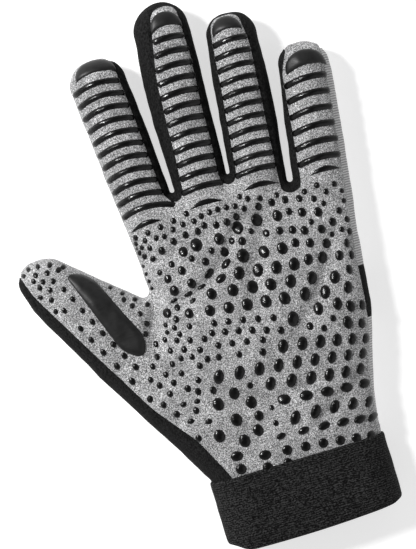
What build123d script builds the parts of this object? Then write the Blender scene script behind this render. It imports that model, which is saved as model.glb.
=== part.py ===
from build123d import *

"""Left-hand grip glove lying on its back, palm up: hollow fabric shell, elastic cuff, silicone grip print.

Frame: +Y runs from the wrist opening to the fingertips, +Z out of the palm, the thumb is on the -X side.
The glove rests on its back at z = 0. Every length is in millimetres.

Outlines are drawn in a pattern frame, whose origin is near the middle of the palm, and everything is moved
at the end so that the origin sits under the middle of the glove's box.

The fabric is one hollow shell in life. Here it is parted at each crease, so that the fingers can fold.
"""

import math
import os

# ---------------------------------------------------------------- driving dimensions
HEIGHT = 21.0  # palm surface to back surface of the filled glove
ROLL = 8.5  # radius at which the fabric rolls from the palm to the back
CLOTH = 1.2  # fabric thickness
GRIP = 0.8  # height of the silicone print above the fabric
SIDE_SEAM = 6.0  # height of the seam where the back panel meets the side pieces
CREASE = 0.6  # slit between two bodies at a crease

CUFF_TOP = -89.0  # y of the seam between the hand and the cuff
CUFF_LENGTH = 32.0
CUFF_LEFT = -24.6  # x of the cuff's left and right sides
CUFF_RIGHT = 53.8
CUFF_OUTER = 1.1  # thicknesses of the cuff's three layers
CUFF_ELASTIC = 0.7
CUFF_LINING = 0.8
CUFF_ROLL = 8.5  # corner radius of the cuff's cross-section
CUFF_GAP = 0.4  # between the cuff's edge and the dots that it cuts short
CUFF_SPARE = 2.0  # extra length of the layers before the hem's curve trims them
CUFF_PLAN = [
    (-30, -80, 0), (-30, -118, 0), (-22, -120.2, 30), (12, -121.6, 200), (56, -119.6, 0), (60, -80, 0),
]
ELASTIC_START = 4.0  # the elastic's two edges, measured from the hand's seam
ELASTIC_END = 29.0
SEAM_DEPTH = 2.7  # depth of the overlocked seam, inside the cuff's lining, under the cuff's face
SEAM_THICK = 0.9
SEAM_START = 0.2  # the overlocked seam's two edges, measured from the hand's seam
SEAM_END = 1.2

OUTER_STRIP = 51.5  # everything on the hand's sides beyond this x is the outer strip
PATCH_TOP = -15.0  # ends of the black patch in that strip
PATCH_LOW = -38.0
LITTLE_MIDDLE = 66.0  # x that parts the little finger's inner side from its outer side
WEBS = {"web_index_middle": (-4.5, 34), "web_middle_ring": (20.5, 34), "web_ring_little": (46.2, 25)}
WEB_BOX = (8.0, 16.0, 24.0)  # reach of a web's strip from that point: to each side, down and up

FAR = 200.0  # beyond everything
SLIVER = 1.0  # volume under which a boolean's leftover is dropped
GRIP_LOW = 10.0  # the print stops at this height on a side
PRINT_INSET = 0.35  # the print keeps this far inside the front panel's edge
DOT_TALL = 1.12  # a dot's length over its width
DOT_CLEAR = 0.15  # least gap between two dots
DOT_SLIVER = 0.4  # volume under which a trimmed dot is dropped
WEB = 0.95  # radius of the fabric at the bottom of the gap between two fingers

# Silhouette of the glove without its cuff, clockwise from the wrist's left: x, y and corner radius.
SILHOUETTE = [
    (-24.5, -100, 0), (-24.5, -87.5, 8), (-57.8, -32, 120), (-78.5, 6, 60),
    (-84.5, 27.2, 9.5), (-65.5, 27.8, 14), (-26.4, -5.5, 3), (-28, 18, 80),
    (-36.6, 106.6, 11.5), (-10.6, 105.2, 11), (-5.7, 39.5, WEB), (-3.7, 39.5, WEB),
    (-3.8, 85, 120), (-0.4, 122.5, 12.5), (23.6, 121.2, 11), (22.6, 85, 120),
    (20.3, 40.2, WEB), (22.3, 40.2, WEB), (26.3, 80, 120), (30.8, 110, 9.5),
    (51.6, 108.8, 11.5), (51.2, 80, 120), (45.7, 29.5, WEB), (47.7, 29.5, WEB),
    (54.6, 70, 120), (57.4, 87.4, 9.5), (78.8, 87.6, 10.5), (78.0, 68, 60), (69, -2, 60),
    (65.5, -33, 60), (57, -65, 60), (53.7, -86, 20), (53.7, -100, 0),
]

# Edge of the grey front panel: a seam where it meets a black piece, and free space where it wraps round
# a side.
FRONT_EDGE = [
    (-15.5, -100, 0), (-15.5, -88, 6), (-25, -69, 40), (-40, -50.5, 60), (-76.5, 12, 40), (-81, 25, 3),
    (-82, 36, 0), (-48, 36, 0), (-48, 114, 0), (-18, 114, 0), (-12.8, 97, 12), (-8.4, 40, 6), (-4.3, 32.5, 3),
    (-0.3, 38.5, 6), (2.3, 88, 80), (8.5, 119, 6), (20, 120, 5), (20.5, 95, 60), (17.2, 39, 6),
    (20.6, 32.8, 3), (24.4, 39, 6), (30.6, 98, 50), (32.5, 108.4, 5), (45.5, 108.6, 5), (46.8, 92, 50),
    (41.7, 26, 3), (46.2, 24, 4), (50.2, 26, 3), (56.2, 76, 20), (61, 86, 4), (61, 96, 0),
    (77, 96, 0), (76.6, 80, 10), (70.8, 30, 60), (65.5, -10, 40), (62, -42, 60), (56, -64, 30), (53.9, -86, 0), (53.9, -100, 0),
]

# Each finger: x between it and its left and right neighbour, y of its base crease and middle crease,
# then its bars: y of the lowest bar's crown, pitch, count, bar width, sag of the ends, x of the crown at the
# lowest and highest bar, and the tip pad's lower y, upper y, centre x and half width.
FINGERS = {
    "index": dict(sides=((-60, -60), (-4.7, -4.7)), creases=(45.0, 68.2),
                  bars=(36.5, 5.82, 11, 2.7, 2.8, -18, -22.5), tip=(99.6, 105.6, -22.3, 9.4)),
    "middle": dict(sides=((-4.7, -4.7), (21.3, 24.5)), creases=(47.2, 71.0),
                   bars=(38.2, 6.07, 12, 2.9, 1.9, 8.5, 12.5), tip=(110.2, 116.6, 13.4, 7.0)),
    "ring": dict(sides=((21.3, 24.5), (46.7, 57.5)), creases=(46.4, 69.2),
                 bars=(38.6, 5.78, 11, 2.7, 1.8, 33.5, 39), tip=(101.2, 107.4, 38.6, 6.6)),
    "little": dict(sides=((46.7, 57.5), (110, 110)), creases=(38.8, 52.7),
                   bars=(35.6, 7.05, 6, 2.9, 2.0, 61, 66), tip=(76.2, 83.2, 67.4, 9.2)),
}
BAR_REACH = 13.0  # half the length of a bar before it is trimmed to the front panel
TIP_DROP = 2.0  # how far the corners of a tip pad hang below its lower edge's crown
NECK_Y = 26.0  # where the lines between fingers start, below the lowest web
TIP_Y = 125.0  # and where they end
BASE_BARS = [
    (-27.5, 27.2, -12.6, 28.8), (0.2, 29.6, 15.6, 29.4), (25.0, 30.6, 41.4, 29.8), (55.2, 28.9, 69.6, 28.3),
]
BASE_BAR_RISE = (0.3, 2.8)  # how far the lower and upper edge of a base bar bow towards the fingertips

THUMB_WEB = (-26.2, -5.8)  # bottom of the gap between thumb and hand
THUMB_FOLD = 23.5  # degrees from +Y to the crease at the thumb's root, clockwise
THUMB_AIM = 41.0  # degrees from +Y to the thumb's own direction, anticlockwise
GAP_TURN = 27.0  # degrees from +Y to a line up the gap between thumb and hand, anticlockwise
THUMB_KNUCKLE = 29.0  # from the web to the thumb's middle crease, along the thumb
THUMB_PAD = [(-60.5, 18.2, 1.5), (-50.5, 15.5, 14), (-34.2, -18, 12), (-36.5, -27.5, 3.2), (-45.5, -22, 14)]


def single(x, y, half_width, *shape):
    """A row of one dot."""
    return (x, y), (x, y), (x, y), 1, (half_width, half_width, half_width), *shape


# Rows of grip dots: three points that the row passes through, the number of dots, and the half width at
# each point. Some rows also have the dots' length over their width, and their tilt in degrees.
DOT_ROWS = [
    # below the fingers
    ((-26, 24.8), (-14, 26), (-1.5, 28.5), 5, (1.2, 1.3, 1.3)),
    ((-27.4, 22.2), (-22.3, 22.3), (-17.2, 22), 3, (1.1, 1.2, 1.2)),
    ((-13.6, 21.6), (-6.7, 24), (0.8, 24.3), 4, (1.2, 1.3, 1.3)),
    ((4.5, 25.6), (12.2, 26.3), (19.9, 25.5), 5, (1.3, 1.3, 1.3)),
    ((23, 29), (28.5, 26.3), (38.8, 25), 4, (1.2, 1.3, 1.2)),
    ((51, 23), (56.9, 24.1), (64.5, 22.5), 3, (1.3, 1.3, 1.2)),
    ((-24.6, 19.8), (-23, 19.3), (-21.2, 18.6), 2, (1.1, 1.2, 1.2)),
    ((-26.8, 17.9), (-24.6, 15.8), (-21.2, 13.7), 3, (1.1, 1.2, 1.3)),
    ((-16.5, 16), (-7.4, 19.2), (1.1, 19.6), 4, (1.6, 1.5, 1.5)),
    ((4.5, 21.3), (14.5, 19.8), (23.4, 23.3), 5, (1.4, 1.6, 1.3)),
    ((29.7, 22.5), (41.8, 22), (54, 18.8), 5, (1.6, 1.6, 1.4)),
    ((60, 20.3), (63.4, 19.6), (66.9, 18.7), 2, (1.3, 1.2, 1.1)),
    ((57.5, 15.6), (62, 15), (66.6, 14.3), 2, (1.2, 1.2, 1.1)),
    ((-27.6, 20), (-27, 10), (-26.4, 1.5), 6, (0.7, 0.8, 0.8)),
    # upper palm
    ((-7.5, 12.8), (-4.3, 13.5), (-1.2, 14.1), 2, (2.1, 2.4, 2.7)),
    ((9.1, 13.8), (22.8, 16.8), (36.4, 16.3), 4, (2.4, 2.6, 2.3)),
    ((41.9, 16.6), (47.3, 14.6), (54.1, 12.7), 3, (1.5, 1.9, 2.0)),
    ((63.3, 10.7), (62.7, 6.6), (62, 2.4), 2, (1.4, 1.3, 1.2)),
    ((-14, 9), (-0.2, 9.2), (14.1, 11.4), 4, (1.4, 1.4, 1.4)),
    ((18.5, 10), (21, 11.5), (23.6, 13), 2, (1.8, 1.5, 1.3)),
    ((29.6, 10.3), (38.4, 9.1), (46, 6.6), 4, (1.6, 1.7, 1.8)),
    ((49.9, 9.4), (51.6, 7.4), (53.3, 5.1), 2, (1.3, 1.5, 1.8)),
    ((58.9, 6.8), (62.3, 6.6), (65.6, 6), 2, (1.7, 1.5, 1.4)),
    ((-20, 7), (-17.3, 3.3), (-16.2, -2.4), 3, (1.2, 1.7, 2.1)),
    ((-10.5, 5.1), (0.6, 5.9), (9.8, 7.6), 3, (1.8, 1.7, 2.0)),
    ((17, 3.7), (26.3, 2.7), (34.4, 1.9), 3, (2.8, 2.5, 2.5)),
    ((40.6, 2.6), (46.7, 0.7), (53.6, -1.5), 3, (1.9, 1.9, 2.0)),
    ((57.2, 1.6), (61.5, -0.5), (65.2, 0.6), 2, (1.2, 1.3, 1.4)),
    ((-17.6, -6.5), (-10.7, -5.5), (-4.2, -4.2), 3, (1.6, 1.8, 1.9), (0.62, 15)),
    single(-8, -1.4, 2.0),
    ((0.5, 0.5), (4.7, 1.8), (8.8, 2.5), 2, (2.5, 2.5, 2.5), (0.66, 35)),
    single(4.9, -3.1, 2.5, (0.76, 30)),
    ((13.2, -3.1), (25.6, -4.8), (37.4, -6.2), 4, (2.5, 2.5, 2.5), (1.18, -14)),
    ((44, -6), (50.2, -6.9), (57.5, -8.2), 3, (2.1, 2.2, 1.9), (1.2, -16)),
    ((62.4, -3.9), (62.8, -6.5), (63, -9.6), 2, (1.4, 1.4, 1.4), (1.4, -6)),
    ((-22, -10.9), (-19.5, -10.5), (-17, -9.9), 2, (2.0, 1.7, 1.4)),
    single(-9.6, -9, 1.5, (0.7, 25)),
    ((-0.9, -8.4), (12.9, -10), (25.1, -11.8), 4, (2.3, 2.6, 2.5)),
    ((33.8, -12.9), (43.2, -14.2), (52.9, -16.8), 3, (2.5, 2.4, 2.4), (1.2, -16)),
    single(60, -15.3, 1.6, (1.3, 0)),
    ((-18.9, -14.7), (-16, -14.3), (-12.8, -13.8), 2, (1.4, 1.8, 2.0)),
    ((-3.7, -15.2), (12.7, -17.3), (29.1, -19.3), 5, (2.3, 2.5, 2.6)),
    ((38.2, -20), (47, -21.8), (57.2, -22.6), 3, (2.4, 2.4, 2.1), (1.25, -16)),
    # middle of the palm
    ((-24.2, -15.8), (-22.5, -17), (-20.7, -18.1), 2, (1.0, 1.1, 1.2)),
    ((-24.4, -19), (-19.3, -21.3), (-14.2, -19.3), 3, (1.0, 1.2, 1.3)),
    ((-3.5, -21), (9, -23.2), (22, -26.1), 5, (1.4, 1.4, 1.5)),
    ((30.1, -29), (42, -27.9), (50.7, -28.2), 3, (2.7, 2.3, 2.2), (1.22, -14)),
    ((55.9, -30.9), (58.5, -31.4), (61.2, -32), 2, (2.1, 2.0, 1.8), (1.25, 0)),
    ((-26.4, -21.8), (-18.6, -24.4), (-9.5, -26.4), 4, (1.2, 1.3, 1.4)),
    ((-5.6, -24.9), (8.7, -27.9), (23.6, -32.3), 6, (1.4, 1.5, 1.6)),
    ((36.3, -34.2), (42, -36.8), (47, -33.8), 3, (1.6, 1.4, 1.4)),
    ((-25.4, -27.1), (-19.4, -28.3), (-12.7, -30.4), 3, (1.3, 1.4, 1.4)),
    ((-4.5, -30.8), (4.7, -32.2), (14.8, -34), 4, (1.4, 1.4, 1.4)),
    ((-26.2, -33), (-21.8, -31.6), (-17, -32.4), 3, (1.3, 1.3, 1.3)),
    ((-10.8, -35.2), (-8.4, -35.6), (-5.8, -35.8), 2, (1.4, 1.4, 1.4)),
    ((3.1, -37.2), (8, -38.1), (13.3, -39.1), 2, (1.4, 1.5, 1.6)),
    ((-23.5, -38), (-19.2, -37.8), (-14.8, -37.1), 2, (1.3, 1.4, 1.4)),
    ((22.5, -39.2), (42.4, -42.6), (58.6, -46.6), 6, (2.4, 2.3, 1.8), (1.25, -22)),
    ((52.7, -37.4), (55.7, -38.4), (58.8, -39.7), 2, (2.3, 2.1, 1.8), (1.25, 0)),
    # heel of the palm
    ((-8.3, -44.1), (26.4, -47.7), (55.4, -52.5), 9, (2.4, 2.2, 1.8), (1.3, -25)),
    ((-11.9, -55.5), (-3.9, -53), (3.8, -51.6), 3, (2.6, 2.4, 1.4)),
    ((12.6, -53.4), (34.4, -56.5), (52.4, -58.6), 6, (2.3, 2.3, 1.9), (1.3, -30)),
    ((-15.4, -69), (-6.2, -64.3), (2.2, -58.9), 3, (2.6, 2.6, 2.5)),
    ((3.7, -65.4), (7, -64.5), (10.1, -63.6), 2, (2.1, 1.6, 1.1)),
    ((16.3, -61.8), (35.4, -63.8), (52.2, -65.3), 5, (2.9, 2.8, 2.6), (0.85, -8)),
    ((-5.4, -74.2), (1.6, -71.4), (9.9, -70.6), 3, (2.6, 2.4, 1.3)),
    ((18.7, -70.8), (36.7, -71.2), (51.8, -73.5), 5, (2.3, 2.2, 1.9), (1.35, -34)),
    ((10.5, -76.8), (34.2, -78.3), (52.2, -80.7), 6, (2.1, 2.7, 2.4), (0.72, 12)),
    ((-10.6, -79.7), (-4.5, -81.5), (1.4, -82.8), 2, (2.7, 2.7, 2.7), (0.85, 0)),
    ((11.3, -83.5), (31.1, -85.5), (48.6, -88.2), 6, (2.3, 2.2, 2.2), (1, 0)),
    ((-10.5, -86), (1, -88.7), (10.2, -89.4), 3, (2.4, 2.4, 2.3)),
    # ball of the thumb
    ((-35, -49), (-30.9, -45.2), (-27.9, -41), 3, (1.4, 1.4, 1.4)),
    ((-22.7, -45.2), (-20, -44), (-17.3, -42.9), 2, (1.5, 1.5, 1.4)),
    ((-18.8, -47.7), (-15.5, -48.4), (-12.2, -49.1), 2, (1.5, 1.5, 1.5)),
    ((-26.6, -51.3), (-23.5, -51.2), (-20.4, -51.7), 2, (1.5, 1.5, 1.4), (0.85, 0)),
    ((-30.6, -54.6), (-26, -55.5), (-22, -55.4), 2, (1.5, 1.5, 1.5)),
    ((-25.6, -59.3), (-22, -60.5), (-18.1, -61.6), 2, (1.6, 1.6, 1.6), (0.8, 0)),
    single(-24.4, -67.4, 1.5),
    single(-40, -45, 1.5),
    ((-37.3, -36.9), (-35.8, -38.6), (-34.2, -40.4), 2, (1.3, 1.4, 1.4)),
    ((-34.7, -31.6), (-32.8, -34), (-30.3, -36.6), 2, (1.3, 1.3, 1.3)),
    ((-30.7, -22.5), (-31.4, -25), (-31.7, -28), 2, (1.2, 1.2, 1.2), (1.25, 0)),
    # thumb
    ((-65, 3), (-57.3, -12.7), (-45.3, -35.3), 7, (1.2, 1.3, 1.5), (1.2, 20)),
    ((-60, 6.8), (-51.6, -11.3), (-42, -29.6), 7, (1.2, 1.3, 1.4), (1.2, 20)),
    ((-73.5, 11.5), (-71, 7.5), (-68.8, 3.6), 2, (1.2, 1.2, 1.2)),
    single(-69.2, 9, 1.2),
    ((-72.5, 15.6), (-68.4, 13.5), (-62.5, 12), 3, (1.2, 1.2, 1.2)),
    ((-74.3, 19.1), (-70.4, 17.8), (-66, 16.8), 3, (1.1, 1.2, 1.2)),
    ((-78, 22.6), (-70.2, 21.2), (-62.6, 20.8), 4, (1.1, 1.2, 1.2)),
    ((-75.3, 24.9), (-68.4, 24.5), (-59.8, 22.2), 4, (1.0, 1.1, 1.1)),
    ((-42.6, 7.6), (-35.6, 1.9), (-29.3, -4.8), 4, (0.9, 1.0, 1.1)),
    ((-38.7, 0.2), (-34.6, -5.5), (-31.9, -12.8), 4, (1.1, 1.2, 1.2)),
    single(-33.7, -17, 1.2),
]


# ---------------------------------------------------------------- shapes
def outline(corners):
    """Closed face from corners of x, y and radius; a radius of 0 leaves the corner sharp."""
    points = [Vector(x, y) for x, y, _ in corners]
    radii = [r for _, _, r in corners]
    line = FilletPolyline(*points, radius=radii, close=True)
    return make_face(line)


def prism(face, low=-FAR, high=FAR):
    """Upright solid of a flat face between two heights."""
    return extrude(Pos(0, 0, low) * face, amount=high - low, dir=(0, 0, 1))


def polygon(*points):
    return make_face(Polyline(*[Vector(x, y) for x, y in points], close=True))


def pillow(face, grow):
    """The filled glove's body, grown outwards by grow on every side."""
    grown = face if grow == 0 else offset(face, amount=grow, kind=Kind.ARC)
    body = prism(grown, -grow, HEIGHT + grow)
    rims = body.edges().group_by(Axis.Z)
    return fillet(rims[0] + rims[-1], ROLL + grow)


def parabola(values, u):
    """Value at u in 0..1 of the parabola that takes the three values at 0, 1/2 and 1."""
    a, b, c = values
    return a * (1 - u) * (1 - 2 * u) + 4 * b * u * (1 - u) + c * u * (2 * u - 1)


def arc_band(left, crown, right, left_2, crown_2, right_2):
    """Face between two three-point arcs; the arcs may share their ends."""
    low, high = ThreePointArc(left, crown, right), ThreePointArc(left_2, crown_2, right_2)
    edges = [low, high]
    if (Vector(*left) - Vector(*left_2)).length > 0.01:
        edges += [Line(left, left_2), Line(right, right_2)]
    return make_face(edges)


def lens(left, right, low_rise, high_rise):
    """Crescent between two points whose two edges bow towards the fingertips."""
    middle_x, middle_y = (left[0] + right[0]) / 2, (left[1] + right[1]) / 2
    low, high = (middle_x, middle_y + low_rise), (middle_x, middle_y + high_rise)
    return arc_band(left, low, right, left, high, right)


# ---------------------------------------------------------------- areas seen from above
def side_x(line, y):
    """x at height y of a line between two fingers."""
    share = (y - NECK_Y) / (TIP_Y - NECK_Y)
    return line[0] + (line[1] - line[0]) * share


def finger_area(name, low, high):
    left, right = FINGERS[name]["sides"]
    return polygon(
        (side_x(left, low), low), (side_x(right, low), low),
        (side_x(right, high), high), (side_x(left, high), high),
    )


def turned(angle):
    """Unit vector at an anticlockwise angle from +Y."""
    return Vector(-math.sin(math.radians(angle)), math.cos(math.radians(angle)))


THUMB_CREASE_DIR = turned(-THUMB_FOLD)
THUMB_OUT = turned(90 - THUMB_FOLD)  # square to the root crease, away from the hand
THUMB_DIR = turned(THUMB_AIM)
THUMB_KNUCKLE_DIR = turned(THUMB_AIM - 90)
KNUCKLE = Vector(*THUMB_WEB) + THUMB_DIR * THUMB_KNUCKLE


def thumb_area(shift):
    """Everything on the thumb's side of its root crease, the crease moved towards the thumb by shift."""
    web = Vector(*THUMB_WEB) + THUMB_OUT * shift
    foot = web - THUMB_CREASE_DIR * FAR
    gap = web + turned(GAP_TURN) * FAR
    return polygon((web.X, web.Y), (foot.X, foot.Y), (-FAR, -FAR), (-FAR, FAR), (gap.X, gap.Y))


def thumb_end_area(shift):
    """Everything beyond the thumb's middle crease, the crease moved towards the tip by shift."""
    near = KNUCKLE + THUMB_DIR * shift
    corners = [near - THUMB_KNUCKLE_DIR * FAR, near + THUMB_KNUCKLE_DIR * FAR]
    corners += [corners[1] + THUMB_DIR * FAR, corners[0] + THUMB_DIR * FAR]
    return polygon(*[(p.X, p.Y) for p in corners])


def body_areas():
    """The flat area of each body: the hand, and two segments for each finger and the thumb."""
    half = CREASE / 2
    areas = {}
    hand = polygon((-FAR, CUFF_TOP), (FAR, CUFF_TOP), (FAR, FAR), (-FAR, FAR)) - thumb_area(-half)
    for name, finger in FINGERS.items():
        base, middle = finger["creases"]
        hand -= finger_area(name, base - half, TIP_Y)
        areas[name + "_lower"] = finger_area(name, base + half, middle - half)
        areas[name + "_upper"] = finger_area(name, middle + half, TIP_Y)
    areas["thumb_lower"] = thumb_area(half) - thumb_end_area(-half)
    areas["thumb_upper"] = thumb_area(half) & thumb_end_area(half)
    areas["hand"] = hand
    return areas


# ---------------------------------------------------------------- silicone print
def bar_faces(name):
    """Arched bars across a finger, from its base to its tip."""
    low, pitch, count, width, sag, x_low, x_high = FINGERS[name]["bars"]
    faces = []
    for i in range(count):
        x = x_low + (x_high - x_low) * i / (count - 1)
        y = low + pitch * i
        top, bottom = y + width / 2, y - width / 2
        faces.append(arc_band(
            (x - BAR_REACH, bottom - sag), (x, bottom), (x + BAR_REACH, bottom - sag),
            (x - BAR_REACH, top - sag), (x, top), (x + BAR_REACH, top - sag),
        ))
    return faces


def tip_face(name):
    low, high, x, half = FINGERS[name]["tip"]
    left, right = (x - half, low - TIP_DROP), (x + half, low - TIP_DROP)
    return lens(left, right, TIP_DROP, high - low + TIP_DROP)


def crease_distance(x, y):
    """Signed distance from the thumb's root crease, positive on the thumb."""
    return (Vector(x, y) - Vector(*THUMB_WEB)).dot(THUMB_OUT)


def on_thumb(x, y):
    """Whether a point is beyond the thumb's root crease and on the thumb's side of the gap above its web."""
    gap_side = (Vector(x, y) - Vector(*THUMB_WEB)).dot(turned(GAP_TURN + 90))
    return crease_distance(x, y) > 0 and gap_side > 0


def knuckle_distance(x, y):
    return (Vector(x, y) - KNUCKLE).dot(THUMB_DIR)


def dot_list():
    """All grip dots as x, y, half width, half length and tilt.

    A dot that would touch an earlier one or a crease is left out.
    """
    dots = []
    for first, middle, last, count, radii, *shape in DOT_ROWS:
        tall, tilt = shape[0] if shape else (DOT_TALL, 0)
        for i in range(count):
            u = i / max(count - 1, 1)
            x = parabola((first[0], middle[0], last[0]), u)
            y = parabola((first[1], middle[1], last[1]), u)
            r = parabola(radii, u)
            reach = r * max(tall, 1)
            clear = abs(crease_distance(x, y)) > reach + CREASE or y > THUMB_WEB[1]
            clear = clear and (not on_thumb(x, y) or abs(knuckle_distance(x, y)) > reach + CREASE)
            for a, b, half_width, half_length, _ in dots:
                gap = math.hypot(x - a, y - b) - reach - max(half_width, half_length)
                clear = clear and gap > DOT_CLEAR
            if clear:
                dots.append((x, y, r, r * tall, tilt))
    return dots


def dot_sketch(wanted):
    """Dots as flat faces, for those that the test wanted(x, y) accepts."""
    dots = [dot for dot in dot_list() if wanted(dot[0], dot[1])]
    return Sketch() + [Pos(x, y) * Rot(0, 0, tilt) * Ellipse(a, b) for x, y, a, b, tilt in dots]


# ---------------------------------------------------------------- solids
def keep(solid, smallest=SLIVER):
    """The solids of a boolean's result, without slivers."""
    if solid is None:
        return []
    found = solid.solids() if hasattr(solid, "solids") else solid
    return [s for s in found if s.volume > smallest]


def cut(solids, area, low=-FAR, high=FAR, smallest=SLIVER):
    """The parts of some solids that stand over a flat area, between two heights."""
    pieces = []
    for face in area.faces():
        column = prism(face, low, high)
        for solid in solids:
            pieces += keep(solid & column, smallest)
    return pieces


def slab(low, high):
    return Pos(0, 0, (low + high) / 2) * Box(2 * FAR, 2 * FAR, high - low)


def box_area(left, right, low, high):
    return polygon((left, low), (right, low), (right, high), (left, high))


def cuff_profile(shrink):
    """Cross-section of the cuff in the XZ plane at the wrist, shrunk on every side."""
    width = CUFF_RIGHT - CUFF_LEFT - 2 * shrink
    height = HEIGHT - 2 * shrink
    centre = Pos((CUFF_LEFT + CUFF_RIGHT) / 2, CUFF_TOP, HEIGHT / 2)
    return centre * Rot(90, 0, 0) * RectangleRounded(width, height, CUFF_ROLL - shrink)


def cuff_tube(outer, inner, start, end):
    """A layer of the cuff between two depths and two distances from the hand's seam."""
    tube = extrude(cuff_profile(outer), amount=end) - extrude(cuff_profile(inner), amount=end)
    if start > 0:
        tube -= extrude(cuff_profile(outer - 1), amount=start)
    return tube


def build():
    plan = outline(SILHOUETTE)
    front = outline(FRONT_EDGE)
    body = pillow(plan, 0)
    shell = body - pillow(plan, -CLOTH)
    grip = [pillow(plan, GRIP) - body]
    areas = body_areas()
    nodes = {}

    # Fabric: front and back panels of every body, and the pieces between them.
    low = keep(shell & slab(-FAR, SIDE_SEAM))
    high = keep(shell & slab(SIDE_SEAM, FAR))
    front_solid = prism(front)
    panels = [piece for solid in high for piece in keep(solid & front_solid)]
    sides = [piece for solid in high for piece in keep(solid - front_solid)]
    for name, area in areas.items():
        hand = name == "hand"
        nodes["back_panel" if hand else name + "_back"] = cut(low, area)
        nodes["palm_panel" if hand else name + "_front"] = cut(panels, area)
    hand_sides = cut(sides, areas["hand"])
    across, down, up = WEB_BOX
    for name, (x, y) in WEBS.items():
        nodes[name] = cut(hand_sides, box_area(x - across, x + across, y - down, y + up))
    nodes["thumb_side_strip"] = cut(hand_sides, box_area(-FAR, 0, -FAR, 20))
    nodes["outer_strip_top"] = cut(hand_sides, box_area(OUTER_STRIP, FAR, PATCH_TOP, FAR))
    nodes["outer_strip_patch"] = cut(hand_sides, box_area(OUTER_STRIP, FAR, PATCH_LOW, PATCH_TOP))
    nodes["outer_strip_low"] = cut(hand_sides, box_area(OUTER_STRIP, FAR, -FAR, PATCH_LOW))
    for name in ("index", "middle", "ring", "little", "thumb"):
        for end in ("_lower", "_upper"):
            nodes[name + end + "_side"] = cut(sides, areas[name + end])
    for end in ("_lower", "_upper"):
        both = nodes["little" + end + "_side"]
        nodes["little" + end + "_side"] = cut(both, box_area(0, LITTLE_MIDDLE, 0, FAR))
        nodes["little" + end + "_outer_strip"] = cut(both, box_area(LITTLE_MIDDLE, FAR, 0, FAR))

    # Silicone: bars and tip pads on the fingers, a pad on the thumb, and dots.
    inset = offset(front, amount=-PRINT_INSET, kind=Kind.INTERSECTION)
    for name in FINGERS:
        faces = bar_faces(name)
        for end in ("_lower", "_upper"):
            node = name + end + "_bars"
            nodes[node] = []
            for face in faces:
                nodes[node] += cut(grip, face & inset & areas[name + end], low=GRIP_LOW)
        tip = tip_face(name) & inset & areas[name + "_upper"]
        nodes[name + "_upper_bars"] += cut(grip, tip, low=GRIP_LOW)
    nodes["finger_base_bars"] = []
    for x0, y0, x1, y1 in BASE_BARS:
        face = lens((x0, y0), (x1, y1), *BASE_BAR_RISE)
        nodes["finger_base_bars"] += cut(grip, face & inset & areas["hand"], low=GRIP_LOW)
    for name, finger in FINGERS.items():
        low_bars = [f for f in bar_faces(name) if f.center().Y < finger["creases"][0]]
        for face in low_bars:
            nodes["finger_base_bars"] += cut(grip, face & inset & areas["hand"], low=GRIP_LOW)
    pad = outline(THUMB_PAD)
    nodes["thumb_pad"] = cut(grip, pad & areas["thumb_lower"], low=GRIP_LOW)
    nodes["thumb_pad_end"] = cut(grip, pad & areas["thumb_upper"], low=GRIP_LOW)
    tests = {
        "palm_dots": lambda x, y: not on_thumb(x, y),
        "thumb_lower_dots": lambda x, y: on_thumb(x, y) and knuckle_distance(x, y) < 0,
        "thumb_upper_dots": lambda x, y: on_thumb(x, y) and knuckle_distance(x, y) > 0,
    }
    dot_field = (inset - pad) & box_area(-FAR, FAR, CUFF_TOP + CUFF_GAP, FAR)
    for node, wanted in tests.items():
        nodes[node] = cut(grip, dot_sketch(wanted) & dot_field, low=GRIP_LOW, smallest=DOT_SLIVER)

    # Cuff: two knitted layers, an elastic band between them, and the seam that joins them to the hand.
    hem = outline(CUFF_PLAN)
    depth_1 = CUFF_OUTER
    depth_2 = CUFF_OUTER + CUFF_ELASTIC
    depth_3 = depth_2 + CUFF_LINING
    outer = cuff_tube(0, depth_1, 0, CUFF_LENGTH + CUFF_SPARE)
    lining = cuff_tube(depth_2, depth_3, 0, CUFF_LENGTH + CUFF_SPARE)
    nodes["cuff_outer"] = keep(outer & prism(hem))
    nodes["cuff_lining"] = keep(lining & prism(hem))
    nodes["cuff_elastic"] = keep(cuff_tube(depth_1, depth_2, ELASTIC_START, ELASTIC_END))
    nodes["cuff_seam"] = keep(cuff_tube(SEAM_DEPTH, SEAM_DEPTH + SEAM_THICK, SEAM_START, SEAM_END))
    return nodes


def main():
    nodes = build()
    boxes = [s.bounding_box() for solids in nodes.values() for s in solids]
    x = (min(b.min.X for b in boxes) + max(b.max.X for b in boxes)) / 2
    y = (min(b.min.Y for b in boxes) + max(b.max.Y for b in boxes)) / 2
    os.makedirs("parts", exist_ok=True)
    for name, solids in nodes.items():
        moved = [Pos(-x, -y, 0) * s for s in solids]
        shape = moved[0] if len(moved) == 1 else Compound(children=moved)
        shape.label = name
        export_step(shape, "parts/" + name + ".step")
        print(name, len(moved), round(sum(s.volume for s in moved), 1))
    print("centre of the box in the pattern frame:", round(x, 3), round(y, 3))


main()
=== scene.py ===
"""Looks of the grip glove: sewn fabric skin, silicone print, folded knit cuff, studio.

Everything is drawn in the glove's pattern frame in millimetres: x towards the little finger, y towards the
fingertips, z out of the palm. place() turns that into the shared frame in metres.
"""

import math

import bpy
import numpy as np
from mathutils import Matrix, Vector, noise
from mathutils.geometry import delaunay_2d_cdt

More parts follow.
